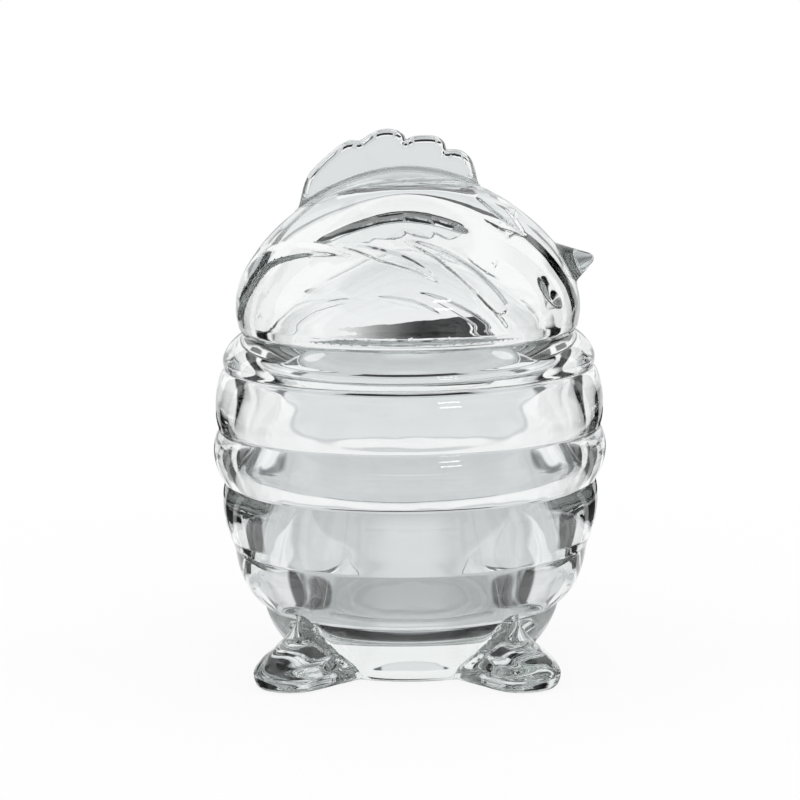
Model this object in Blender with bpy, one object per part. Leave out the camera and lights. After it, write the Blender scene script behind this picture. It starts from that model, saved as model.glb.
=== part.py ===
"""A candy jar of clear pressed glass in the shape of a plump hen, with a lid that lifts off.

Lengths are metres and +Z is up. The origin is on the jar's axis, on the table. The two feet
point to -Y and the hen's beak points to +X.
"""

import math

import bmesh
import bpy
from mathutils import Vector

# Driving dimensions of the jar. The base, the mouth and the floor go with the belly.
rim_height = 0.0975
belly_radius = 0.0572
base_radius = belly_radius * 0.5594
mouth_radius = belly_radius * 0.7517
mouth_depth = 0.0105
mouth_chamfer = 0.0008
rim_width = 0.0053
rim_radius = mouth_radius + rim_width
floor_thickness = 0.0130
floor_radius = belly_radius * 0.4196
wall_at_belly = 0.0059

# The hollow's two curves between the mouth, the belly and the floor: the handles of each, as
# shares of the way out to the belly and of the way up to the upper end.
shoulder_handle_shares = ((0.66, 1.0), (1.14, 0.48))
floor_handle_shares = ((0.86, 0.49), (0.44, 0.0))

# The rings from the table up, as shares of the rim's height and of the belly's radius: the
# height of each ring's upper groove, that groove's radius, and where the ring is fullest.
groove_height_shares = (0.182, 0.356, 0.552, 0.715, 0.893)
groove_radius_shares = (0.755, 0.902, 0.951, 0.974, 0.937)
crest_height_shares = (0.195, 0.349, 0.475, 0.636, 0.785, 0.916)
crest_radius_shares = (0.759, 0.9015, 0.9565, 1.0, 0.9895, 0.9455)

# The feet: each is a tongue with a round end, which narrows from its sole up to a ridge. The
# soles clear the table, so that the jar stands on its ground base. A foot's root leans out with
# the jar's wall and stays inside the glass. A row is a share of the foot's height, then of its
# reach and of its half width there.
foot_angle = math.radians(42.0)
foot_clearance = 0.0003
foot_height = rim_height * 0.203
foot_overhang = 0.0028
foot_reach = belly_radius + foot_overhang
foot_half_width = 0.0105
foot_root = base_radius * 0.84
foot_root_lean = base_radius * 0.34
foot_shares = (
    (0.0, 0.965, 0.87),
    (0.10, 0.992, 0.97),
    (0.22, 1.0, 1.0),
    (0.40, 0.965, 0.81),
    (0.60, 0.865, 0.57),
    (0.80, 0.79, 0.33),
    (1.0, 0.745, 0.12),
)

# Driving dimensions of the lid, which stands out over the rim and tucks in under its widest
# line.
lid_overhang = 0.0017
lid_radius = rim_radius + lid_overhang
lid_height = 0.0465
lid_widest_height = 0.0062
lid_tuck = 0.0030
lid_edge_radius = lid_radius - lid_tuck
lid_edge_round = 0.0016
seat_gap = 0.0003
ring_clearance = 0.0006
ring_depth = 0.0045
ring_wall = 0.0026
ring_round = 0.0008
dome_upright_share = 0.50
dome_crown_share = 0.44
hollow_height = lid_height * 0.62
hollow_upright_height = 0.0032
hollow_upright_share = 0.55
hollow_lean_share = 0.94
hollow_crown_share = 0.30

# The comb stands in the plane of the beak: three points for each lobe, as shares of its length
# and rise from its rear foot.
comb_length = lid_radius * 1.066
comb_rise = 0.0227
comb_rear = lid_radius * 0.63
comb_foot_height = lid_height * 0.7656
comb_half_thickness = 0.0030
comb_round = 0.0014
comb_lobe_shares = (
    ((0.0, 0.0), (0.103, 0.555), (0.34, 0.846)),
    ((0.34, 0.846), (0.486, 1.0), (0.589, 0.846)),
    ((0.589, 0.846), (0.722, 0.907), (0.811, 0.714)),
    ((0.811, 0.714), (0.932, 0.652), (1.0, 0.172)),
)
comb_root_shares = ((0.97, -0.20), (0.60, 0.02), (0.35, 0.02), (0.04, -0.20))

# The beak: a blunt oval cone from inside the dome's wall.
beak_overhang = 0.0031
beak_tip = lid_radius + beak_overhang
beak_tip_height = lid_height * 0.439
beak_tip_radius = 0.0022
beak_root = lid_radius * 0.78
beak_root_height = lid_height * 0.355
beak_root_half_height = 0.0094
beak_root_half_width = 0.0086

# How finely the curved faces are cut up.
round_segments = 64
ring_steps = (4, 6, 6, 6, 6, 5)
wall_steps = 7
dome_steps = 9
foot_end_segments = 12
lobe_segments = 6
beak_segments = 16
sharp_angle = math.radians(22.0)


def sine_rise(start, crest, share):
    """A quarter sine wave, from start at share 0 to crest at share 1, where it is level."""
    return start + (crest - start) * math.sin(math.pi / 2 * share)


def bezier(points, steps):
    """Points along a cubic curve with four control points, without its first."""
    a, b, c, d = (Vector(point) for point in points)
    found = []
    for step in range(1, steps + 1):
        t = step / steps
        s = 1 - t
        found.append(tuple(s**3 * a + 3 * s * s * t * b + 3 * s * t * t * c + t**3 * d))
    return found


def arc_through(start, middle, end, steps):
    """Points along the circle through three points of a plane, without its first."""
    (ax, ay), (bx, by), (cx, cy) = start, middle, end
    twice_area = 2 * (ax * (by - cy) + bx * (cy - ay) + cx * (ay - by))
    a2, b2, c2 = ax * ax + ay * ay, bx * bx + by * by, cx * cx + cy * cy
    ox = (a2 * (by - cy) + b2 * (cy - ay) + c2 * (ay - by)) / twice_area
    oy = (a2 * (cx - bx) + b2 * (ax - cx) + c2 * (bx - ax)) / twice_area
    radius = math.hypot(ax - ox, ay - oy)
    first = math.atan2(ay - oy, ax - ox)
    turn = math.atan2(cy - oy, cx - ox) - first
    clockwise = twice_area < 0
    turn = -((-turn) % math.tau) if clockwise else turn % math.tau
    angles = [first + turn * step / steps for step in range(1, steps + 1)]
    return [(ox + radius * math.cos(a), oy + radius * math.sin(a)) for a in angles]


def outer_profile():
    """The jar's wall from the base's edge to the rim, as (radius, height)."""
    grooves = [(base_radius, 0.0)]
    for radius_share, height_share in zip(groove_radius_shares, groove_height_shares):
        grooves.append((belly_radius * radius_share, rim_height * height_share))
    grooves.append((rim_radius, rim_height))
    profile = [grooves[0]]
    for number, crest_share in enumerate(crest_height_shares):
        (low_radius, low), (high_radius, high) = grooves[number], grooves[number + 1]
        crest_radius = belly_radius * crest_radius_shares[number]
        crest = rim_height * crest_share
        steps = ring_steps[number]
        for step in range(1, steps + 1):
            height = low + (high - low) * step / steps
            if height <= crest:
                radius = sine_rise(low_radius, crest_radius, (height - low) / (crest - low))
            else:
                radius = sine_rise(high_radius, crest_radius, (high - height) / (high - crest))
            if step == steps:
                radius = high_radius
            profile.append((radius, height))
    return profile


def inner_profile():
    """The hollow from the rim down to the edge of its floor."""
    inner_belly = belly_radius - wall_at_belly
    belly_height = rim_height * crest_height_shares[crest_radius_shares.index(1.0)]
    shoulder = rim_height - mouth_depth
    profile = [
        (mouth_radius + mouth_chamfer, rim_height),
        (mouth_radius, rim_height - mouth_chamfer),
        (mouth_radius, shoulder),
    ]
    rise = shoulder - belly_height
    profile += bezier(
        (
            (mouth_radius, shoulder),
            *(
                (mouth_radius + (inner_belly - mouth_radius) * out, belly_height + rise * up)
                for out, up in shoulder_handle_shares
            ),
            (inner_belly, belly_height),
        ),
        wall_steps,
    )
    fall = belly_height - floor_thickness
    profile += bezier(
        (
            (inner_belly, belly_height),
            *(
                (floor_radius + (inner_belly - floor_radius) * out, floor_thickness + fall * up)
                for out, up in floor_handle_shares
            ),
            (floor_radius, floor_thickness),
        ),
        wall_steps,
    )
    return profile


def rows_mesh(name, rows, low_point, high_point):
    """A closed mesh from rings of points, with a fan to a point at each end."""
    mesh = bmesh.new()
    rings = [[mesh.verts.new(point) for point in row] for row in rows]
    for ring, following in zip(rings, rings[1:]):
        for number in range(len(ring)):
            beside = (number + 1) % len(ring)
            mesh.faces.new((ring[number], ring[beside], following[beside], following[number]))
    for ring, point, forward in ((rings[0], low_point, False), (rings[-1], high_point, True)):
        middle = mesh.verts.new(point)
        for number in range(len(ring)):
            pair = (ring[number], ring[(number + 1) % len(ring)])
            mesh.faces.new((*(pair if forward else pair[::-1]), middle))
    bmesh.ops.recalc_face_normals(mesh, faces=mesh.faces)
    data = bpy.data.meshes.new(name)
    mesh.to_mesh(data)
    mesh.free()
    return data


def ring_row(profile_point, angles):
    radius, height = profile_point
    return [(radius * math.cos(a), radius * math.sin(a), height) for a in angles]


def smooth_object(name, data, material):
    """An object in the scene, shaded smooth but for its sharp edges."""
    made = bpy.data.objects.new(name, data)
    bpy.context.scene.collection.objects.link(made)
    data.materials.append(material)
    data.shade_smooth()
    data.set_sharp_from_angle(angle=sharp_angle)
    return made


def clear_glass(name):
    """Colourless soda-lime glass with its fire-polished shine."""
    material = bpy.data.materials.new(name)
    material.use_nodes = True
    shader = material.node_tree.nodes["Principled BSDF"]
    shader.inputs["Base Color"].default_value = (0.96, 0.97, 0.97, 1.0)
    shader.inputs["Roughness"].default_value = 0.02
    shader.inputs["Metallic"].default_value = 0.0
    shader.inputs["IOR"].default_value = 1.52
    shader.inputs["Transmission Weight"].default_value = 1.0
    return material


def hidden_piece(name, data):
    """A shape that only lends itself to a union."""
    made = bpy.data.objects.new(name, data)
    bpy.context.scene.collection.objects.link(made)
    made.hide_render = True
    made.display_type = "WIRE"
    return made


def join_all(target, shapes):
    """Turn a body and the shapes that belong to it into one closed body."""
    pieces = [hidden_piece(data.name, data) for data in shapes]
    for piece in pieces:
        union = target.modifiers.new(piece.name, "BOOLEAN")
        union.operation = "UNION"
        union.solver = "EXACT"
        union.object = piece
    joined = target.evaluated_get(bpy.context.evaluated_depsgraph_get())
    data = bpy.data.meshes.new_from_object(joined)
    target.modifiers.clear()
    target.data = data
    data.shade_smooth()
    data.set_sharp_from_angle(angle=sharp_angle)
    for piece in pieces:
        bpy.data.objects.remove(piece)


def foot_mesh(side):
    """One foot, a stack of tongues that each run from inside the jar out to a round end."""
    across = side * foot_angle - math.pi / 2
    rows = []
    for height_share, reach_share, width_share in foot_shares:
        half_width = foot_half_width * width_share
        centre = foot_reach * reach_share - half_width
        root = foot_root + foot_root_lean * height_share
        outline = [(root, half_width), (root, -half_width)]
        for number in range(foot_end_segments + 1):
            turn = math.pi * number / foot_end_segments - math.pi / 2
            outline.append(
                (centre + half_width * math.cos(turn), half_width * math.sin(turn))
            )
        height = foot_clearance + (foot_height - foot_clearance) * height_share
        rows.append([turned((x, y, height), across) for x, y in outline])
    middle = foot_root + foot_root_lean
    ends = [turned((middle, 0, height), across) for height in (foot_clearance, foot_height)]
    return rows_mesh("foot", rows, *ends)


def turned(point, angle):
    """A point turned about the jar's axis."""
    x, y, height = point
    return (
        x * math.cos(angle) - y * math.sin(angle),
        x * math.sin(angle) + y * math.cos(angle),
        height,
    )


def round_angles():
    return [math.tau * number / round_segments for number in range(round_segments)]


def make_jar():
    rows = [ring_row(point, round_angles()) for point in outer_profile() + inner_profile()]
    data = rows_mesh("jar", rows, (0, 0, 0), (0, 0, floor_thickness))
    jar = smooth_object("jar", data, clear_glass("clear pressed glass of the jar"))
    join_all(jar, [foot_mesh(side) for side in (-1, 1)])
    return jar


def lid_profile():
    """The lid from its crown down the outside, round the locating ring and up the hollow."""
    over = lid_height - lid_widest_height
    profile = bezier(
        (
            (0, lid_height),
            (lid_radius * dome_crown_share, lid_height),
            (lid_radius, lid_widest_height + over * dome_upright_share),
            (lid_radius, lid_widest_height),
        ),
        dome_steps,
    )
    corner = lid_edge_radius + lid_edge_round
    profile.append(((lid_radius + corner) / 2, lid_widest_height / 2))
    profile.append((corner, lid_edge_round))
    profile.append((lid_edge_radius, 0))
    ring_radius = mouth_radius - ring_clearance
    ring_inside = ring_radius - ring_wall
    profile += [
        (ring_radius, 0),
        (ring_radius, ring_round - ring_depth),
        (ring_radius - ring_round, -ring_depth),
        (ring_inside + ring_round, -ring_depth),
        (ring_inside, ring_round - ring_depth),
        (ring_inside, hollow_upright_height),
    ]
    over = hollow_height - hollow_upright_height
    profile += bezier(
        (
            (ring_inside, hollow_upright_height),
            (
                ring_inside * hollow_lean_share,
                hollow_upright_height + over * hollow_upright_share,
            ),
            (ring_inside * hollow_crown_share, hollow_height),
            (0, hollow_height),
        ),
        dome_steps,
    )
    return profile[:-1]


def comb_outline():
    """The comb's outline as (x, height above the lid's seat), from its rear foot round."""
    def place(shares):
        return (
            comb_length * shares[0] - comb_rear,
            comb_foot_height + comb_rise * shares[1],
        )

    outline = [place(comb_lobe_shares[0][0])]
    for lobe in comb_lobe_shares:
        outline += arc_through(*(place(shares) for shares in lobe), lobe_segments)
    return outline + [place(shares) for shares in comb_root_shares]


def comb_mesh():
    """The comb's outline given its thickness, with the edges of both sides rounded off."""
    outline = [Vector((x, 0, z)) for x, z in comb_outline()]
    middle = sum(outline, Vector()) / len(outline)
    rows = []
    for offset, inset in ((-comb_half_thickness, comb_round), (comb_round - comb_half_thickness, 0.0)):
        rows.append((offset, inset))
    rows += [(-offset, inset) for offset, inset in rows[::-1]]
    rings = []
    for offset, inset in rows:
        ring = []
        for point in outline:
            inward = (middle - point).normalized() * inset
            ring.append((point.x + inward.x, offset, point.z + inward.z))
        rings.append(ring)
    ends = [(middle.x, offset, middle.z) for offset in (-comb_half_thickness, comb_half_thickness)]
    return rows_mesh("comb", rings, *ends)


def beak_mesh():
    """An oval cone along +X with a rounded tip, closed at its root inside the glass."""
    nose = beak_tip - beak_tip_radius / 2
    sections = (
        (beak_root, beak_root_height, beak_root_half_width, beak_root_half_height),
        (nose, beak_tip_height, beak_tip_radius, beak_tip_radius),
    )
    rings = []
    for x, height, half_width, half_height in sections:
        ring = []
        for number in range(beak_segments):
            turn = math.tau * number / beak_segments
            ring.append((x, half_width * math.cos(turn), height + half_height * math.sin(turn)))
        rings.append(ring)
    root = (beak_root, 0, beak_root_height)
    return rows_mesh("beak", rings, root, (beak_tip, 0, beak_tip_height))


def make_lid():
    rows = [ring_row(point, round_angles()) for point in lid_profile()]
    data = rows_mesh("lid", rows, (0, 0, lid_height), (0, 0, hollow_height))
    lid = smooth_object("lid", data, clear_glass("clear pressed glass of the lid"))
    join_all(lid, [comb_mesh(), beak_mesh()])
    lid.location.z = rim_height + seat_gap
    return lid


for old in list(bpy.data.objects):
    bpy.data.objects.remove(old)
make_jar()
make_lid()
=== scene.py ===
"""A clear pressed-glass candy jar in the shape of a hen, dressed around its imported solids."""

import math

import bpy
import numpy as np
from mathutils import Matrix, Vector


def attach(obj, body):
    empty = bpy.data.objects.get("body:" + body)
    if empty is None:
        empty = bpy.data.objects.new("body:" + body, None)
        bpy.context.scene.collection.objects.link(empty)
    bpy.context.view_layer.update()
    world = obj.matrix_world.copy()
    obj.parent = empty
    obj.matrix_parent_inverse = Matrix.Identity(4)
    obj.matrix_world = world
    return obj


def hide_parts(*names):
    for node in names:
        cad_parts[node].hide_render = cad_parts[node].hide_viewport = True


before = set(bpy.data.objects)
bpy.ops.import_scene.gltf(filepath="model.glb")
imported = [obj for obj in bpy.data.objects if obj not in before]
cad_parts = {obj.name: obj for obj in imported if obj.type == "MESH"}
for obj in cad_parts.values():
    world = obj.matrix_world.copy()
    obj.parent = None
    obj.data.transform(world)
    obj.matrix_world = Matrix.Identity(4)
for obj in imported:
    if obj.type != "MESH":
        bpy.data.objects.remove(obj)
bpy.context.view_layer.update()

view_distance = 0.900
view_height = 0.217
view_turn = math.radians(2.5)
view_tilt = math.radians(-0.73)
view_aim = Vector((-0.0027, 0.0, 0.0767))
sensor_width = 36.0
lens_length = 140.2


def add_object(name, data):
    """A new object in the scene for a mesh, a lamp or a lens."""
    thing = bpy.data.objects.new(name, data)
    bpy.context.scene.collection.objects.link(thing)
    return thing


def facing(stand, aim):
    """The placing of something that stands at one point and looks at another."""
    turn = (aim - stand).to_track_quat("-Z", "Y").to_matrix().to_4x4()
    return Matrix.Translation(stand) @ turn


lens = bpy.data.cameras.new("long_lens")
lens.sensor_width = sensor_width
lens.lens = lens_length
camera = add_object("camera", lens)
stand = Vector(
    (view_distance * math.sin(view_turn), -view_distance * math.cos(view_turn), view_height)
)
camera.matrix_world = facing(stand, view_aim) @ Matrix.Rotation(view_tilt, 4, "Z")
bpy.context.scene.camera = camera
bpy.context.scene.view_settings.view_transform = "Standard"

# The white room
# A white laminate table among white screens, with a softbox on each of its four sides. Clear
# glass shows only what is round it, so black gaps between the screens and a dark ceiling draw
# its edges, as in a studio. The jar's shadow is painted low on the screens and on the table.


def linear(hex_colour):
    """An sRGB hex colour as the linear colour that Blender works in."""
    shares = [int(hex_colour[start:start + 2], 16) / 255 for start in (1, 3, 5)]
    return [s / 12.92 if s <= 0.04045 else ((s + 0.055) / 1.055) ** 2.4 for s in shares] + [1.0]


def add_node(tree, kind, settings=None, inputs=None):
    """A node of a kind with its settings, and values or other nodes' outputs on its inputs."""
    node = tree.nodes.new(kind)
    for name, value in (settings or {}).items():
        setattr(node, name, value)
    for socket, value in (inputs or {}).items():
        if isinstance(value, bpy.types.NodeSocket):
            tree.links.new(value, node.inputs[socket])
        else:
            node.inputs[socket].default_value = value
    return node


def cleared_tree(owner):
    """The node tree of a world or a material, with nothing in it."""
    owner.use_nodes = True
    owner.node_tree.nodes.clear()
    return owner.node_tree


def maths(tree, operation, *values):
    """The result of a Math node on values or other nodes' outputs."""
    return add_node(tree, "ShaderNodeMath", {"operation": operation},
                    dict(enumerate(values))).outputs[0]


def product(tree, first, *others):
    """Shares times each other: 1 only where all of them are 1."""
    for other in others:
        first = maths(tree, "MULTIPLY", first, other)
    return first


def most(tree, first, *others):
    """The greatest of some shares: 1 where any of them is 1."""
    for other in others:
        first = maths(tree, "MAXIMUM", first, other)
    return first


def rise(tree, value, low, high):
    """0 below low and 1 above high, with a smooth step between them."""
    return add_node(tree, "ShaderNodeMapRange", {"interpolation_type": "SMOOTHSTEP"},
                    {"Value": value, "From Min": low, "From Max": high}).outputs[0]


def fall(tree, value, low, high):
    """1 below low and 0 above high, with a smooth step between them."""
    return maths(tree, "SUBTRACT", 1.0, rise(tree, value, low, high))


def between(tree, value, low, low_end, high, high_end):
    """1 from low_end to high, with smooth steps to 0 at low and at high_end."""
    return product(tree, rise(tree, value, low, low_end), fall(tree, value, high, high_end))


def mix_colours(tree, share, first, second):
    """The first colour where the share is 0, and the second where it is 1."""
    return add_node(tree, "ShaderNodeMix", {"data_type": "RGBA"},
                    {"Factor": share, 6: first, 7: second}).outputs[2]


def mix_shaders(tree, share, first, second):
    """The first shader where the share is 0, and the second where it is 1."""
    return add_node(tree, "ShaderNodeMixShader", None, {0: share, 1: first, 2: second}).outputs[0]


def by_way_of_glass(tree):
    """1 where a ray comes by way of metal or glass."""
    path = add_node(tree, "ShaderNodeLightPath")
    return most(tree, path.outputs["Is Glossy Ray"], path.outputs["Is Transmission Ray"])


def in_the_picture(tree):
    """1 where a ray comes from the camera, or by way of metal or glass."""
    path = add_node(tree, "ShaderNodeLightPath")
    return most(tree, path.outputs["Is Camera Ray"], by_way_of_glass(tree))


def round_the_table(tree, across, back):
    """Degrees off the line through the jar's front and back, and off the nearer of that line
    and the one through its sides."""
    off_front = maths(tree, "DEGREES", maths(
        tree, "ARCTAN2", maths(tree, "ABSOLUTE", across), maths(tree, "ABSOLUTE", back)))
    return off_front, maths(tree, "MINIMUM", off_front, maths(tree, "SUBTRACT", 90.0, off_front))


def distance(tree, *sides):
    """How far off a place is whose distances along two axes are given."""
    first, second = (maths(tree, "POWER", side, 2.0) for side in sides)
    return maths(tree, "SQRT", maths(tree, "ADD", first, second))


# The painted shadow of the jar and the gaps run on from the surround over the table. The edges
# of the painted shadow and of its darker borders are in degrees off the nearer of the front and
# back line and the sides' line, and those of the gaps are in degrees off the front and back line.
screen_colour = linear("#FFFFFF")
border_colour = linear("#606468")
gap_and_shadow_black = linear("#08090A")
screen_shadow_edge, border_edge = (8.6, 9.6), (11.0, 12.5)
far_gap, side_gap = (33.0, 35.5, 50.0, 53.0), (57.0, 59.0, 79.0, 81.0)
front_gap_share = 0.35


def weaker_in_front(tree, back, blend):
    """How black the gaps are: all of it behind the jar, and a share of it in front."""
    return maths(tree, "MULTIPLY_ADD", rise(tree, back, -blend, blend),
                 1 - front_gap_share, front_gap_share)


world = bpy.data.worlds.new("white_surround")
bpy.context.scene.world = world
tree = cleared_tree(world)
square_on = add_node(tree, "ShaderNodeVectorRotate", {"rotation_type": "Z_AXIS"},
                     {0: add_node(tree, "ShaderNodeTexCoord").outputs["Generated"],
                      "Angle": -view_turn})
toward = add_node(tree, "ShaderNodeSeparateXYZ", None, {0: square_on.outputs[0]})
across, back, up = (toward.outputs[axis] for axis in "XYZ")
off_front, off_side = round_the_table(tree, across, back)
# The jar's shadow, painted low and pale on the screens to the four sides, bowed at the top, with
# a darker painted border at its upright edges. Heights in the surround are the sines of their
# angles over the table.
screen_shadow_colour = linear("#EBECED")
screen_shadow_top, screen_shadow_bow = (0.158, 0.175), 0.0006
bowed = maths(tree, "MULTIPLY_ADD", maths(tree, "POWER", off_side, 2.0), screen_shadow_bow, up)
low_down = fall(tree, bowed, *screen_shadow_top)
border = product(tree, fall(tree, off_side, *border_edge), low_down)
screen_shadow = product(tree, fall(tree, off_side, *screen_shadow_edge), low_down)
surround = mix_colours(tree, border, screen_colour, border_colour)
surround = mix_colours(tree, screen_shadow, surround, screen_shadow_colour)
# The black gaps between the screens, and the dark ceiling over them.
ceiling_colour = linear("#2A2C2E")
far_gap_top, side_gap_top, ceiling_edge = (0.36, 0.42), (0.6, 0.8), (0.83, 0.88)
gap = most(
    tree,
    product(tree, between(tree, off_front, *far_gap), fall(tree, up, *far_gap_top)),
    product(tree, between(tree, off_front, *side_gap), fall(tree, up, *side_gap_top)),
)
gap = product(tree, gap, weaker_in_front(tree, back, blend=0.1))
surround = mix_colours(tree, gap, surround, gap_and_shadow_black)
surround = mix_colours(tree, rise(tree, up, *ceiling_edge), surround, ceiling_colour)
# The glass mirrors the room behind the camera, which is dimmer.
path = add_node(tree, "ShaderNodeLightPath")
room_edge, room_dimming = (-0.45, 0.0), 0.7
room = product(tree, fall(tree, back, *room_edge), path.outputs["Is Glossy Ray"])
strength = maths(tree, "MULTIPLY_ADD", room, -room_dimming, 1.0)
# Glass finds all of that, the camera finds plain white, and what is lit finds an even light.
even_strength = 0.6
even = add_node(tree, "ShaderNodeBackground", None,
                {"Color": screen_colour, "Strength": even_strength})
white = add_node(tree, "ShaderNodeBackground", None, {"Color": screen_colour, "Strength": 1.0})
around = add_node(tree, "ShaderNodeBackground", None, {"Color": surround, "Strength": strength})
shown = mix_shaders(tree, by_way_of_glass(tree), even.outputs[0], around.outputs[0])
shown = mix_shaders(tree, path.outputs["Is Camera Ray"], shown, white.outputs[0])
add_node(tree, "ShaderNodeOutputWorld", None, {"Surface": shown})

# The table. Its pattern is for glass alone, in millimetres from the jar's axis: beyond is the
# way out along the nearest of the four sides' lines, and beside the way off that line.
mm = 0.001
table_size, table_drop = 6.0, 0.1 * mm
table_paint = bpy.data.materials.new("white_laminate_table")
tree = cleared_tree(table_paint)
place = add_node(tree, "ShaderNodeSeparateXYZ", None,
                 {0: add_node(tree, "ShaderNodeVectorMath", {"operation": "SCALE"},
                              {0: add_node(tree, "ShaderNodeTexCoord").outputs["Object"],
                               "Scale": 1 / mm}).outputs[0]})
across, back = place.outputs["X"], place.outputs["Y"]
off_front, off_side = round_the_table(tree, across, back)
wide, deep = maths(tree, "ABSOLUTE", across), maths(tree, "ABSOLUTE", back)
beside, beyond = maths(tree, "MINIMUM", wide, deep), maths(tree, "MAXIMUM", wide, deep)
from_axis = distance(tree, wide, deep)
# The jar's own soft shadow, painted as a strip to each of the four sides: darker near the jar
# and under it, a little wider farther out, with a dark painted border, and paler down the middle
# with painted light that the jar lets through into its shadow.
shade_far_colour, shade_near_colour = linear("#D6D8DA"), linear("#CACCCE")
under_base_colour = linear("#A5A8AA")
shade_near, under_base = (60, 150), (26, 32)
strip_edge, strip_border, border_start = (58, 61), (63, 66), (95, 120)
strip_widens, strip_widening = (95, 110), 6
caustic_start, caustic_length, caustic_crest = 65, 85, (0.0, 0.9)
caustic_edge, caustic_end, caustic_share = (5, 22), (150, 190), 0.5
strip = maths(tree, "MULTIPLY_ADD", rise(tree, beyond, *strip_widens), -strip_widening, beside)
shade = most(tree, fall(tree, off_side, *screen_shadow_edge), fall(tree, strip, *strip_edge))
border = most(tree, fall(tree, off_side, *border_edge), fall(tree, strip, *strip_border))
border = product(tree, border, rise(tree, beyond, *border_start))
shade_colour = mix_colours(tree, rise(tree, from_axis, *shade_near),
                           shade_near_colour, shade_far_colour)
shade_colour = mix_colours(tree, rise(tree, from_axis, *under_base),
                           under_base_colour, shade_colour)
# Painted light down the middle of the shadow, in waves out from the jar.
caustic = maths(tree, "COSINE", maths(tree, "MULTIPLY", math.tau / caustic_length,
                                    maths(tree, "SUBTRACT", beyond, caustic_start)))
caustic = product(tree, rise(tree, caustic, *caustic_crest), fall(tree, beside, *caustic_edge),
                fall(tree, beyond, *caustic_end), caustic_share)
seen_colour = mix_colours(tree, border, screen_colour, border_colour)
seen_colour = mix_colours(tree, shade, seen_colour, shade_colour)
seen_colour = mix_colours(tree, caustic, seen_colour, screen_colour)
# Farther out a dark band and a white one cross each strip, broken by a lane on either side of
# its middle. They draw the rim of the comb.
far_colour = linear("#E2E4E5")
lane, far_start = (40, 43, 78, 82), (600, 900)
dark_reach, dark_edge, white_reach = (274, 284, 440, 455), (165, 175), (430, 450, 540, 700)
off_lane = maths(tree, "SUBTRACT", 1.0, between(tree, beside, *lane))
dark_band = product(tree, between(tree, beyond, *dark_reach), fall(tree, beside, *dark_edge),
                    off_lane)
white_band = product(tree, between(tree, beyond, *white_reach), off_lane)
seen_colour = mix_colours(tree, rise(tree, beyond, *far_start), seen_colour, far_colour)
seen_colour = mix_colours(tree, white_band, seen_colour, screen_colour)
# The gaps between the screens as they run on over the table, and the small dark shadows that the
# base, the corners under the rings and the feet keep close round them. The table is a little
# dimmer in front.
far_gap_start, side_gap_start = (150, 170), (84, 90)
gap = most(
    tree,
    product(tree, between(tree, off_front, *far_gap), rise(tree, from_axis, *far_gap_start)),
    product(tree, between(tree, off_front, *side_gap), rise(tree, from_axis, *side_gap_start)),
)
gap = product(tree, gap, weaker_in_front(tree, back, blend=20))
in_front = maths(tree, "MULTIPLY", back, -1.0)
base_shadow_reach, base_shadow_edge = (8, 11, 24, 28), (34, 38)
shadows = [product(tree, between(tree, in_front, *base_shadow_reach),
                   fall(tree, wide, *base_shadow_edge))]
for spot_across, spot_back, times_wider, spot_edge in (
        (35, 4, 1.0, (5, 8)), (53, -15, 1.2, (6, 10)),
        (92, 27, 1.3, (8, 14)), (35, -39, 1.0, (17, 24))):
    sideways = maths(tree, "DIVIDE", maths(tree, "SUBTRACT", wide, spot_across), times_wider)
    endways = maths(tree, "SUBTRACT", back, spot_back)
    shadows.append(fall(tree, distance(tree, sideways, endways), *spot_edge))
# The gaps, the dark band and the painted shadows all take the same near black.
seen_colour = mix_colours(tree, most(tree, gap, dark_band, *shadows), seen_colour, gap_and_shadow_black)
front_start, front_dimming = (50, 75), 0.3
dimmer = maths(tree, "MULTIPLY", rise(tree, in_front, *front_start), front_dimming)
seen_colour = mix_colours(tree, dimmer, seen_colour, gap_and_shadow_black)
seen_colour = mix_colours(tree, by_way_of_glass(tree), screen_colour, seen_colour)
# In the picture the table glows. Nearer the jar a little of its lit laminate shows as well, with
# the soft shadow that falls there.
lit = add_node(tree, "ShaderNodeBsdfDiffuse", None, {"Color": linear("#F4F4F4")})
glow = add_node(tree, "ShaderNodeEmission", None, {"Color": seen_colour, "Strength": 1.0})
near_glow, full_glow = 0.88, (100, 400)
glow_share = maths(tree, "MULTIPLY_ADD", rise(tree, from_axis, *full_glow),
                   1 - near_glow, near_glow)
mixed = mix_shaders(tree, product(tree, in_the_picture(tree), glow_share),
                    lit.outputs[0], glow.outputs[0])
add_node(tree, "ShaderNodeOutputMaterial", None, {"Surface": mixed})
half = table_size / 2
table_mesh = bpy.data.meshes.new("table")
table_mesh.from_pydata(
    [(x * half, y * half, -table_drop) for x, y in ((-1, -1), (1, -1), (1, 1), (-1, 1))],
    [], [(0, 1, 2, 3)],
)
table_mesh.materials.append(table_paint)
table = add_object("table", table_mesh)
table.rotation_euler.z = view_turn

# A black cloth flag hangs close behind the jar, for glass alone, and fades to one end. Through
# the hollow of the lid it draws a dark wedge over the seat. Its outline is in millimetres, as
# (across, height).
flag_back, flag_fade = 250, (-62, 10)
flag_line = ((-60, 150), (60, 150), (58, 168), (49, 181), (43, 178), (17, 168), (-11, 161),
             (-31, 162), (-60, 169))
flag_cloth = bpy.data.materials.new("black_flag_cloth")
tree = cleared_tree(flag_cloth)
place = add_node(tree, "ShaderNodeSeparateXYZ", None,
                 {0: add_node(tree, "ShaderNodeTexCoord").outputs["Object"]})
solid = rise(tree, place.outputs["X"], *(edge * mm for edge in flag_fade))
bare = add_node(tree, "ShaderNodeBsdfTransparent")
black = add_node(tree, "ShaderNodeEmission", None, {"Color": gap_and_shadow_black, "Strength": 1.0})
add_node(tree, "ShaderNodeOutputMaterial", None,
         {"Surface": mix_shaders(tree, solid, bare.outputs[0], black.outputs[0])})
flag_mesh = bpy.data.meshes.new("black_flag")
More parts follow.
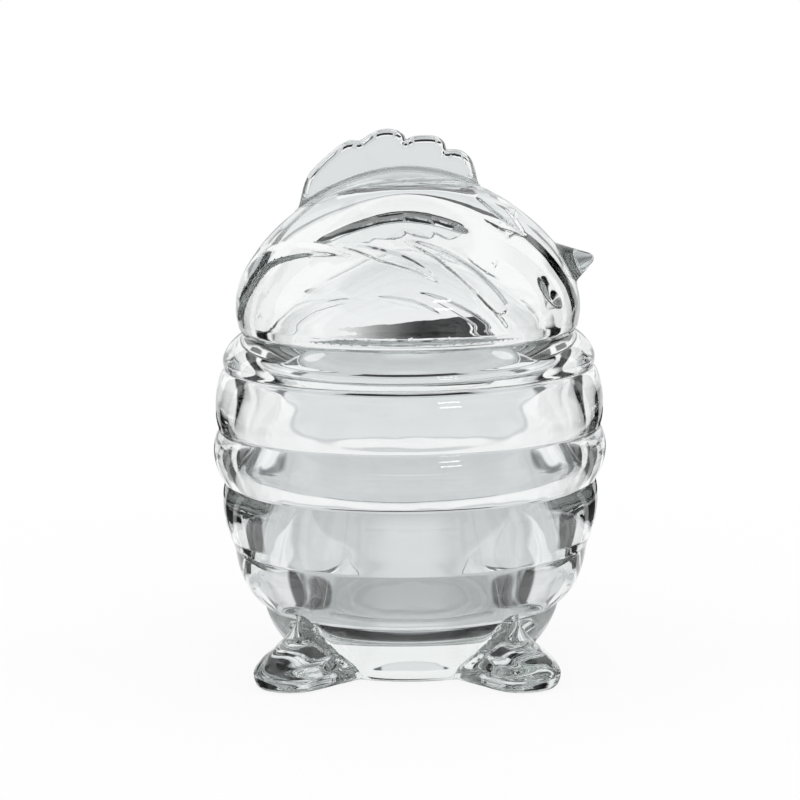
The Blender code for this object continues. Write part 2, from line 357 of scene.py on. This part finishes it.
flag_mesh.from_pydata([(x * mm, flag_back * mm, z * mm) for x, z in flag_line], [],
                      [tuple(range(len(flag_line)))])
flag_mesh.materials.append(flag_cloth)
flag = add_object("black_flag", flag_mesh)
flag.rotation_euler.z = view_turn
flag.visible_camera = flag.visible_diffuse = flag.visible_shadow = flag.visible_glossy = False


def add_lamp(name, place, aim_height, width, height, radiance):
    """A rectangular lamp that faces the jar's axis."""
    light = bpy.data.lights.new(name, "AREA")
    light.shape = "RECTANGLE"
    light.size, light.size_y = width, height
    light.energy = radiance * math.pi * width * height
    lamp = add_object(name, light)
    lamp.matrix_world = facing(Vector(place), Vector((0, 0, aim_height)))
    return lamp


# Four softboxes light the table. In the glass the screens stand for them.
softbox_away, softbox_height, softbox_wide, softbox_tall = 1.0, 0.65, 1.4, 0.85
softbox_radiance = 1.25
for number, name in enumerate(("front", "right", "back", "left")):
    way = view_turn + math.tau * number / 4
    softbox = add_lamp(
        f"{name}_softbox",
        (softbox_away * math.sin(way), -softbox_away * math.cos(way), softbox_height),
        softbox_height, softbox_wide, softbox_tall, softbox_radiance,
    )
    softbox.visible_glossy = softbox.visible_transmission = False
# A pair of tubes high at the front right is mirrored as two short bright dashes on each ring.
tube_away, tube_rise, tube_way = 1.2, math.radians(24), view_turn + math.radians(24)
tube_long, tube_thick, tube_apart = 0.24, 0.05, 0.2
tube_aim, tube_radiance = 0.08, 10.0
for side in (-1, 1):
    lean = tube_rise + side * tube_apart / (2 * tube_away)
    tube = add_lamp(
        f"tube_{'lower' if side < 0 else 'upper'}",
        (tube_away * math.cos(lean) * math.sin(tube_way),
         -tube_away * math.cos(lean) * math.cos(tube_way),
         tube_aim + tube_away * math.sin(lean)),
        tube_aim, tube_long, tube_thick, tube_radiance,
    )
    tube.visible_transmission = False

# Light goes through many surfaces of glass on its way.
cycles = bpy.context.scene.cycles
cycles.max_bounces = 32
cycles.transmission_bounces = 28
cycles.glossy_bounces = 16

# The jar
# One pressing of clear soda-lime glass: five rounded rings over a thick, solid, tapered base, a
# straight mouth with a ground seat, and two bird's feet at the front. The plunger leaves the
# hollow smooth, and the mould's rings and grooves are softened by fire polishing.


def pressed_glass(name):
    """Clear soda-lime glass, fire-polished: almost no haze, and a faint unevenness that bends
    what is seen through it."""
    glass = bpy.data.materials.new(name)
    tree = cleared_tree(glass)
    place = add_node(tree, "ShaderNodeTexCoord").outputs["Object"]
    swell_size, swell_height = 14 * mm, 0.10 * mm
    swell = add_node(tree, "ShaderNodeTexNoise", None,
                     {"Vector": place, "Scale": 1 / swell_size, "Detail": 1.0, "Roughness": 0.4})
    bump = add_node(tree, "ShaderNodeBump", None,
                    {"Height": swell.outputs["Fac"], "Strength": 1.0, "Distance": swell_height})
    skin = add_node(tree, "ShaderNodeBsdfPrincipled", None, {
        "Base Color": linear("#FDFEFE"), "Roughness": 0.0, "IOR": 1.52,
        "Transmission Weight": 1.0, "Normal": bump.outputs[0],
    })
    tint = add_node(tree, "ShaderNodeVolumeAbsorption", None,
                    {"Color": linear("#DCE6E2"), "Density": 4.0})
    add_node(tree, "ShaderNodeOutputMaterial", None,
             {"Surface": skin.outputs[0], "Volume": tint.outputs[0]})
    return glass


def bezier(points, steps):
    """Points along a cubic curve with four control points, from its first."""
    t = np.linspace(0, 1, steps + 1)[:, None]
    a, b, c, d = (np.array(point, float) for point in points)
    return (1 - t)**3 * a + 3 * (1 - t)**2 * t * b + 3 * (1 - t) * t**2 * c + t**3 * d


def join_rounded(runs, reach, steps=6):
    """Runs of points end to end, with each corner between two runs rounded off from reach
    away on one side to reach away on the other."""
    out = [np.array(runs[0], float)]
    for run, cut in zip(runs[1:], reach):
        run = np.array(run, float)
        before = out[-1]
        corner = run[0]
        before = before[np.hypot(*(before - corner).T) > cut]
        after = run[np.hypot(*(run - corner).T) > cut]
        first = corner + (before[-1] - corner) * cut / np.hypot(*(before[-1] - corner))
        last = corner + (after[0] - corner) * cut / np.hypot(*(after[0] - corner))
        t = np.linspace(0, 1, steps + 1)[:, None]
        arc = (1 - t)**2 * first + 2 * (1 - t) * t * corner + t**2 * last
        out[-1] = before
        out += [arc, after]
    return np.concatenate(out)


def straight(start, end, steps):
    """Points along a straight line, from its start."""
    t = np.linspace(0, 1, steps + 1)[:, None]
    return (1 - t) * np.array(start, float) + t * np.array(end, float)


# The base's flank and the five rings, each from the end of the one under it, in millimetres: two
# handles of its curve and the groove over it, as (radius, height). The last ends at the rim.
base_edge = (32.2, 0.32)
ring_curves = (
    ((36.2, 4.8), (42.1, 10.9), (43.2, 17.7)),
    ((49.0, 21.6), (50.8, 28.1), (51.6, 34.7)),
    ((54.3, 40.6), (55.9, 47.4), (54.2, 53.8)),
    ((57.4, 59.0), (58.5, 64.0), (55.6, 69.7)),
    ((57.3, 73.0), (56.8, 84.5), (53.6, 87.1)),
    ((55.7, 90.9), (51.2, 95.6), (48.3, 97.5)),
)
groove_softness = 0.55
outside_runs = []
below = base_edge
for curve in ring_curves:
    outside_runs.append(bezier((below, *curve), 30))
    below = curve[-1]
outside = join_rounded(outside_runs, [groove_softness] * len(outside_runs))
rim_outer, rim_inner, mouth_end = ring_curves[-1][-1], (43.0, 97.5), (43.0, 88.0)
belly_wall, floor_edge, floor_middle = (51.3, 62.0), (24.0, 13.0), (1.0, 13.0)
inside = join_rounded(
    [
        straight(rim_outer, rim_inner, 6),
        straight(rim_inner, mouth_end, 12),
        bezier((mouth_end, (46.5, 86.0), (52.7, 76.0), belly_wall), 40),
        bezier((belly_wall, (48.5, 37.0), (36.0, 13.0), floor_edge), 60),
        straight(floor_edge, floor_middle, 16),
    ],
    [0.8, 1.5, 0.05, 0.05],
)
underside = straight((1.0, 0.0), (31.4, 0.0), 12)
base_corner = ((31.8, 0.05), (32.05, 0.15), (32.2, 0.3))

# The feet: tongues with round ends that narrow upward to a ridge and run into the rings. Their
# ridges stand foot_angle to either side of the front, and each foot ends within foot_span of its
# own.
foot_angle = math.radians(42.0)
foot_span = 1.2
foot_height = 19.8
foot_fillet = 1.5
foot_levels = np.array((0.0, 0.04, 0.10, 0.22, 0.40, 0.60, 0.80, 1.0))
foot_reaches = 60.0 * np.array((0.965, 0.982, 0.993, 1.0, 0.965, 0.865, 0.79, 0.745))
foot_half_widths = 10.5 * np.array((0.87, 0.94, 0.98, 1.0, 0.81, 0.57, 0.33, 0.12))


def smooth_table(levels, values):
    """A table as a function that curves smoothly through its rows."""
    slopes = np.gradient(values, levels)

    def read(share):
        share = np.clip(share, levels[0], levels[-1])
        at = np.clip(np.searchsorted(levels, share, side="right") - 1, 0, len(levels) - 2)
        width = levels[at + 1] - levels[at]
        t = (share - levels[at]) / width
        return (
            (2 * t**3 - 3 * t**2 + 1) * values[at] + (t**3 - 2 * t**2 + t) * width * slopes[at]
            + (3 * t**2 - 2 * t**3) * values[at + 1] + (t**3 - t**2) * width * slopes[at + 1]
        )

    return read


foot_reach_at = smooth_table(foot_levels, foot_reaches)
foot_width_at = smooth_table(foot_levels, foot_half_widths)


def foot_radius(away, height):
    """How far a foot reaches from the axis at an angle away from its ridge."""
    share = height / foot_height
    reach, half_width = foot_reach_at(share), foot_width_at(share)
    centre = reach - half_width
    side = centre * np.abs(np.sin(away))
    round_end = centre * np.cos(away) + np.sqrt(np.maximum(half_width**2 - side**2, 0))
    flank = half_width / np.maximum(np.abs(np.sin(away)), 1e-6)
    radius = np.where(side < half_width, round_end, flank)
    return np.where((share <= 1) & (np.abs(away) < foot_span), radius, 0.0)


def wall_radius(radius, height, angles):
    """The jar's outer radius round one row, with the feet run into it."""
    wall = np.full(len(angles), float(radius))
    for side in (-1, 1):
        away = (angles + math.pi / 2 - side * foot_angle + math.pi) % math.tau - math.pi
        foot = foot_radius(away, height)
        apart = wall - foot
        wall = (wall + foot + np.sqrt(apart**2 + foot_fillet**2)) / 2
        wall = np.where(foot > 0, wall, np.maximum(wall, radius))
    return wall


# The columns stand close together at the feet and farther apart between them.
fine_step, coarse_step = math.radians(0.8), math.radians(1.9)
fine_spread = math.radians(24.0)
stops = [-foot_angle - fine_spread, -foot_angle + fine_spread,
         foot_angle - fine_spread, foot_angle + fine_spread,
         math.tau - foot_angle - fine_spread]
angles = []
for number, (low, high) in enumerate(zip(stops, stops[1:])):
    step = fine_step if number % 2 == 0 else coarse_step
    count = round((high - low) / step)
    angles += [low + (high - low) * i / count for i in range(count)]
angles = np.array(angles) - math.pi / 2


def row_at(radius, height):
    """A row of the jar's skin: its radius, the same or one for each column, and its height."""
    return np.full(len(angles), radius), np.full(len(angles), height)


# Out along the underside and the soles of the feet, up the outside and down the inside.
sole_shares = (0.3, 0.6, 0.85)
rows = [row_at(radius, height) for radius, height in (*underside, *base_corner)]
low_edge, sole_height = base_corner[-1]
sole_edge = wall_radius(base_edge[0], base_edge[1], angles)
rows += [row_at(low_edge + (sole_edge - low_edge) * share, sole_height) for share in sole_shares]
rows += [row_at(wall_radius(radius, height, angles), height) for radius, height in outside]
rows += [row_at(radius, height) for radius, height in inside]


def turned_mesh(name, rows, angles, low_height, high_height):
    """A closed mesh from rows of (radii, heights) round the axis, in millimetres."""
    radii = np.array([row[0] for row in rows])
    heights = np.array([row[1] for row in rows])
    points = np.stack([radii * np.cos(angles), radii * np.sin(angles), heights], axis=-1)
    count, around = radii.shape
    points = np.concatenate([points.reshape(-1, 3), [(0, 0, low_height), (0, 0, high_height)]])
    column = np.arange(around)
    beside = (column + 1) % around
    faces = []
    for row in range(count - 1):
        low, high = row * around, (row + 1) * around
        faces += np.stack([low + column, low + beside, high + beside, high + column], 1).tolist()
    last = (count - 1) * around
    faces += [(b, a, count * around) for a, b in zip(column.tolist(), beside.tolist())]
    faces += [(last + a, last + b, count * around + 1)
              for a, b in zip(column.tolist(), beside.tolist())]
    mesh = bpy.data.meshes.new(name)
    mesh.from_pydata((points * mm).tolist(), [], faces)
    mesh.validate()
    return mesh


crease = math.radians(50)
jar_mesh = turned_mesh("jar_pressing", rows, angles, 0.0, floor_middle[1])
jar_mesh.shade_smooth()
jar_mesh.set_sharp_from_angle(angle=crease)
jar = add_object("jar_pressing", jar_mesh)
jar_mesh.materials.append(pressed_glass("fire_polished_jar_glass"))
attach(jar, "jar")
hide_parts("jar")

# The lid
# One pressing of the same glass: the hen's head and back as a hollow dome with a locating ring
# under it, the scalloped comb, the beak, the eyes and the wing strokes, all run together by
# the mould's soft corners.
lid_seat = 97.8

# The dome and its hollow in profile, in millimetres over the seat. Each is widest at its middle.
dome_radius, dome_middle = 50, 6.2
hollow_radius, hollow_middle = 39.8, 3.2
crown = bezier(((0, 46.5), (22, 46.5), (dome_radius, 26.35), (dome_radius, dome_middle)), 200)
skirt = bezier(((dome_radius, dome_middle), (dome_radius, 3.6), (49.0, 1.2), (48.8, -3.0)), 60)
dome_line = np.concatenate([crown, skirt[1:]])
hollow_line = bezier(((0, 28.8), (11.9, 28.8), (37.4, 17.3), (hollow_radius, hollow_middle)), 200)


def polar_line(line, middle):
    """A profile as its reach from a point on the axis, by elevation."""
    elevation = np.arctan2(line[:, 1] - middle, line[:, 0])
    order = np.argsort(elevation)
    return elevation[order], np.hypot(line[:, 0], line[:, 1] - middle)[order]


dome_polar = polar_line(dome_line, dome_middle)
hollow_polar = polar_line(hollow_line, hollow_middle)


def smooth_least(a, b, blend):
    """The lesser of two fields, with the corner between them rounded."""
    near = np.clip(0.5 + 0.5 * (b - a) / blend, 0, 1)
    return b + (a - b) * near - blend * near * (1 - near)


def smooth_most(a, b, blend):
    """The greater of two fields, with the corner between them rounded."""
    return -smooth_least(-a, -b, blend)


def rounded_box(across, along, radius):
    """A field that is flat on two sides, with the corner between them rounded outward."""
    return (np.minimum(np.maximum(across, along), 0)
            + np.hypot(np.maximum(across, 0), np.maximum(along, 0)) - radius)


def distance_to_line(x, z, line):
    """Distance from points of a plane to a run of points, and the share along it."""
    best = np.full(x.shape, 1e9)
    where = np.zeros(x.shape)
    count = len(line) - 1
    for number in range(count):
        (ax, az), (bx, bz) = line[number], line[number + 1]
        dx, dz = bx - ax, bz - az
        t = np.clip(((x - ax) * dx + (z - az) * dz) / (dx * dx + dz * dz), 0, 1)
        gap = (x - ax - t * dx)**2 + (z - az - t * dz)**2
        closer = gap < best
        best = np.where(closer, gap, best)
        where = np.where(closer, (number + t) / count, where)
    return np.sqrt(best), where


def curve_through(points, steps=6):
    """A smooth run through points of a plane."""
    points = np.array(points, float)
    padded = np.concatenate([[2 * points[0] - points[1]], points, [2 * points[-1] - points[-2]]])
    out = []
    for a, b, c, d in zip(padded, padded[1:], padded[2:], padded[3:]):
        t = np.linspace(0, 1, steps, endpoint=False)[:, None]
        out.append(0.5 * (2 * b + (c - a) * t + (2 * a - 5 * b + 4 * c - d) * t**2
                          + (3 * b - a - 3 * c + d) * t**3))
    return np.concatenate(out + [points[-1:]])


# The wing strokes and the brow, as (across, height over the seat), with their half widths along
# them, how far they stand up and how wide their flanks are. They are alike on both sides.
strokes = (
    (((-48.8, 4.5), (-47.9, 10.0), (-46.0, 14.9), (-43.7, 18.7), (-41.2, 21.7), (-37.1, 24.2),
      (-29.4, 26.3), (-22.0, 26.6), (-13.6, 25.6)),
     (0.5, 1.6, 2.3, 2.4, 2.1, 1.6, 1.0, 0.2), 1.1, 1.6),
    (((-18.3, 28.1), (-13.0, 27.8), (-9.1, 27.0), (-4.9, 25.8), (-0.6, 24.7), (3.5, 23.2),
      (7.7, 21.0), (10.5, 18.9)), (0.2, 0.9, 1.4, 1.4, 0.9, 0.2), 0.70, 1.2),
    (((1.0, 29.6), (4.8, 28.5), (10.3, 26.1), (14.5, 23.4), (18.7, 20.3), (22.8, 16.4),
      (26.0, 12.8), (27.3, 11.2)), (0.2, 0.9, 1.6, 2.1, 2.2, 1.9), 1.00, 1.3),
    (((17.7, 17.4), (20.4, 14.9), (22.9, 12.2), (26.2, 8.4), (28.4, 5.4)),
     (0.3, 0.8, 0.9, 0.8), 0.25, 1.1),
    (((21.0, 39.4), (25.2, 36.9), (28.0, 35.1), (30.9, 32.5), (33.2, 30.0)),
     (0.3, 0.9, 1.1, 0.8, 0.3), 0.50, 1.1),
)
stroke_lines = [(curve_through(stroke[0]), *stroke[1:]) for stroke in strokes]
# The eye is a low ring on either side.
eye_place, eye_radius, eye_lift, eye_width = (30.2, 33.6), 1.1, 0.30, 0.8


def relief(x, z):
    """How far the moulded strokes and eyes stand up from the dome."""
    total = np.zeros(x.shape)
    for line, widths, height, flank in stroke_lines:
        gap, share = distance_to_line(x, z, line)
        width = np.interp(share, np.linspace(0, 1, len(widths)), widths)
        t = np.clip((width - gap) / flank + 0.5, 0, 1)
        total = np.maximum(total, height * t * t * (3 - 2 * t) * np.clip(width / flank, 0, 1))
    ring = np.abs(np.hypot(x - eye_place[0], z - eye_place[1]) - eye_radius)
    return np.maximum(
        total, eye_lift * (0.5 + 0.5 * np.cos(math.pi * np.clip(ring / eye_width, 0, 1))))


# The comb's edge, from its rear foot over its four lobes to its front foot, and back inside the
# dome. The splits are the dips between the lobes, from the edge inward.
comb_edge = np.concatenate([
    curve_through(((-31.5, 33.0), (-31.1, 36.5), (-30.3, 40.2), (-28.8, 44.4), (-26.5, 47.3),
                   (-23.3, 50.3), (-19.5, 53.4), (-16.4, 54.9), (-13.6, 54.8)), 4),
    curve_through(((-13.2, 54.9), (-11.0, 56.3), (-8.6, 57.6), (-5.5, 58.2), (-2.6, 57.7),
                   (-0.6, 56.3), (-0.1, 55.0)), 4),
    curve_through(((0.1, 55.0), (1.9, 55.9), (5.6, 56.2), (8.9, 55.8), (10.9, 54.3),
                   (11.6, 52.2)), 4),
    curve_through(((11.8, 52.0), (14.2, 52.1), (16.5, 51.4), (18.6, 49.4), (19.9, 45.9),
                   (20.8, 41.5), (21.8, 37.5)), 4),
    np.array(((18.0, 32.0), (0.0, 34.0), (-20.0, 30.0))),
])
comb_splits = (
    curve_through(((-13.4, 54.2), (-13.0, 50.5), (-11.4, 46.5), (-8.0, 43.5)), 4),
    curve_through(((0.0, 54.4), (-0.2, 50.5), (0.8, 46.5), (2.5, 43.5)), 4),
    curve_through(((11.6, 51.6), (11.0, 48.0), (11.2, 45.0), (12.5, 42.5)), 4),
)
comb_half, comb_round = 3.0, 2.8
split_depth, split_width, split_end = 0.12, 2.6, 9.0


def comb_edge_distance(x, z):
    """How far points of the middle plane are outside the comb's edge."""
    closed = np.concatenate([comb_edge, comb_edge[:1]])
    gap, _ = distance_to_line(x, z, closed)
    within = np.zeros(x.shape, bool)
    for (ax, az), (bx, bz) in zip(closed, closed[1:]):
        crosses = (az > z) != (bz > z)
        span = bz - az if abs(bz - az) > 1e-9 else 1e-9
        within ^= crosses & (x < (bx - ax) * (z - az) / span + ax)
    return np.where(within, -gap, gap)


def comb_field(x, y, z):
    """The comb: a slab with round edges and shallow dips between its lobes."""
    edge = comb_edge_distance(x, z)
    split = np.full(x.shape, split_end)
    for line in comb_splits:
        split = np.minimum(split, distance_to_line(x, z, line)[0])
    half = comb_half - split_depth * np.exp(-(split / split_width)**2)
    return rounded_box(edge + comb_round, np.abs(y) - (half - comb_round), comb_round)


beak_root, beak_root_radius = Vector((42.6, 0.0, 17.3)), 7.2
beak_tip, beak_tip_radius = Vector((52.2, 0.0, 20.0)), 1.8
beak_narrowing = 0.92


def beak_field(x, y, z):
    """The beak: a cone between two balls, a little narrower than it is high."""
    axis = beak_tip - beak_root
    length = axis.length
    axis = axis / length
    px, py, pz = x - beak_root.x, y / beak_narrowing, z - beak_root.z
    along = px * axis.x + pz * axis.z
    off = np.sqrt(np.maximum(px**2 + py**2 + pz**2 - along**2, 0))
    lean = (beak_root_radius - beak_tip_radius) / length
    share = np.clip((along - off * lean / math.sqrt(1 - lean**2)) / length, 0, 1)
    radius = beak_root_radius + (beak_tip_radius - beak_root_radius) * share
    return np.hypot(along - share * length, off) - radius


# The locating ring, and how softly the lid's forms run into each other. The strokes, the comb and
# the beak are worked out only where they can reach.
locating_radius, locating_half = 41.1, 0.6
locating_middle, locating_tall, locating_round = -1.0, 2.8, 0.7
seat_blend, locating_blend, hollow_blend, comb_blend, beak_blend = 1.6, 0.6, 0.3, 1.6, 1.2
relief_depth, relief_side, relief_low, relief_high = 2.5, 6, 2, 42
comb_side, comb_low, comb_rear, comb_front = 7, 27, -36, 27
beak_rear = 30


def lid_field(points):
    """About how far each point is outside the lid's glass, in millimetres."""
    x, y, z = points.T
    r = np.hypot(x, y)
    dome = (np.hypot(r, z - dome_middle)
            - np.interp(np.arctan2(z - dome_middle, r), *dome_polar))
    near = ((np.abs(dome) < relief_depth) & (np.abs(y) > relief_side)
            & (z > relief_low) & (z < relief_high))
    dome[near] -= relief(x[near], z[near])
    solid = smooth_most(dome, -z, seat_blend)
    locating_ring = rounded_box(np.abs(r - locating_radius) - locating_half,
                                np.abs(z - locating_middle) - locating_tall, locating_round)
    solid = smooth_least(solid, locating_ring, locating_blend)
    hollow = np.where(
        z > hollow_middle,
        np.hypot(r, z - hollow_middle)
        - np.interp(np.arctan2(z - hollow_middle, r), *hollow_polar),
        r - hollow_radius,
    )
    solid = smooth_most(solid, -hollow, hollow_blend)
    near = (np.abs(y) < comb_side) & (z > comb_low) & (x > comb_rear) & (x < comb_front)
    comb = comb_field(x[near], y[near], z[near])
    solid[near] = smooth_least(solid[near], comb, comb_blend)
    near = x > beak_rear
    beak = beak_field(x[near], y[near], z[near])
    solid[near] = smooth_least(solid[near], beak, beak_blend)
    return solid


def slope(points, step=0.04):
    """The field's slope at each point."""
    out = np.empty_like(points)
    for axis in range(3):
        shift = np.zeros(3)
        shift[axis] = step
        out[:, axis] = (lid_field(points + shift) - lid_field(points - shift)) / (2 * step)
    return out


import bmesh


def skin_of(field, low, high, step):
    """A skin of quads where a field crosses nought, with one point in each grid cell that it
    crosses."""
    axes = [np.arange(a, b + step, step) for a, b in zip(low, high)]
    grid = np.stack(np.meshgrid(*axes, indexing="ij"), axis=-1)
    values = field(grid.reshape(-1, 3)).reshape(grid.shape[:3])
    cells = tuple(size - 1 for size in values.shape)
    total, count, quads = np.zeros(cells + (3,)), np.zeros(cells), []
    for axis in range(3):
        start, end = [slice(None)] * 3, [slice(None)] * 3
        start[axis], end[axis] = slice(None, -1), slice(1, None)
        here, there = values[tuple(start)], values[tuple(end)]
        crossed = (here < 0) != (there < 0)
        at = np.argwhere(crossed)
        point = at.astype(float)
        point[:, axis] += here[crossed] / (here[crossed] - there[crossed])
        one, other = (k for k in range(3) if k != axis)
        ring = []
        for step_one, step_other in ((0, 0), (-1, 0), (-1, -1), (0, -1)):
            cell = at.copy()
            cell[:, one] += step_one
            cell[:, other] += step_other
            np.add.at(total, tuple(cell.T), point)
            np.add.at(count, tuple(cell.T), 1)
            ring.append(np.ravel_multi_index(tuple(cell.T), cells))
        ring = np.stack(ring, axis=1)
        turned = (here[crossed] < 0) == (axis == 1)
        ring[turned] = ring[turned][:, ::-1]
        quads.append(ring)
    used = np.flatnonzero(count.ravel())
    number = np.zeros(count.size, int)
    number[used] = np.arange(len(used))
    points = total.reshape(-1, 3)[used] / count.ravel()[used, None] * step + np.array(low)
    return points, number[np.concatenate(quads)]


def settle(points, pairs, evenings):
    """Points evened out between their neighbours and moved onto the lid's surface, and then
    moved onto it some more times."""
    last_moves, least_size, longest_move = 2, 0.05, 1.0
    valence = np.bincount(pairs.ravel(), minlength=len(points))[:, None]
    for number in range(evenings + last_moves):
        if number < evenings:
            spread = np.zeros_like(points)
            np.add.at(spread, pairs[:, 0], points[pairs[:, 1]])
            np.add.at(spread, pairs[:, 1], points[pairs[:, 0]])
            points = 0.5 * points + 0.5 * spread / valence
        lean = slope(points)
        size = np.maximum((lean**2).sum(1), least_size)
        move = np.clip(lid_field(points) / size, -longest_move, longest_move)
        points = points - move[:, None] * lean
    return points


def surface_normals(points):
    """The way straight out of the glass at each point."""
    lean = slope(points, 0.05)
    return lean / np.linalg.norm(lean, axis=1)[:, None]


def mesh_pairs(mesh):
    """The two points of each edge."""
    pairs = np.empty(len(mesh.edges) * 2, np.int32)
    mesh.edges.foreach_get("vertices", pairs)
    return pairs.reshape(-1, 2)


# A skin of even cells, whose edges are then halved, twice over, where they bend too much or their
# middles stray too far from the surface. What is under the seat is even enough as it is.
cell_size, cell_evenings = 0.95, 4
refinings, most_bend, most_stray, least_length, refined_over = 2, 9, 0.02, 0.3, -0.4
points, quads = skin_of(lid_field, (-52.0, -52.0, -6.0), (56.0, 52.0, 60.5), cell_size)
shape = bmesh.new()
for point in points.tolist():
    shape.verts.new(point)
shape.verts.ensure_lookup_table()
corners = list(shape.verts)
for quad in quads.tolist():
    shape.faces.new([corners[number] for number in quad])
skin = bpy.data.meshes.new("lid_pressing")
shape.to_mesh(skin)
points = settle(points, mesh_pairs(skin), cell_evenings)
for _ in range(refinings):
    pairs = mesh_pairs(skin)
    normals = surface_normals(points)
    bend = np.degrees(np.arccos(np.clip((normals[pairs[:, 0]] * normals[pairs[:, 1]]).sum(1),
                                        -1, 1)))
    middle = points[pairs].mean(axis=1)
    stray = np.abs(lid_field(middle))
    length = np.linalg.norm(points[pairs[:, 0]] - points[pairs[:, 1]], axis=1)
    split = (((bend > most_bend) | (stray > most_stray)) & (length > least_length)
             & (middle[:, 2] > refined_over))
    shape.verts.ensure_lookup_table()
    for vertex, point in zip(shape.verts, points.tolist()):
        vertex.co = point
    shape.edges.ensure_lookup_table()
    fine = [shape.edges[number] for number in np.flatnonzero(split).tolist()]
    bmesh.ops.subdivide_edges(shape, edges=fine, cuts=1, use_grid_fill=True)
    shape.to_mesh(skin)
    points = np.empty(len(skin.vertices) * 3, np.float32)
    skin.vertices.foreach_get("co", points)
    points = settle(points.reshape(-1, 3).astype(float), mesh_pairs(skin), 1)
shape.free()
normals = surface_normals(points)
points[:, 2] += lid_seat
skin.vertices.foreach_set("co", (points * mm).astype(np.float32).ravel())
skin.shade_smooth()
skin.update()
skin.normals_split_custom_set_from_vertices(normals.tolist())
lid = add_object("lid_pressing", skin)
skin.materials.append(pressed_glass("fire_polished_lid_glass"))
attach(lid, "lid")
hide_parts("lid")
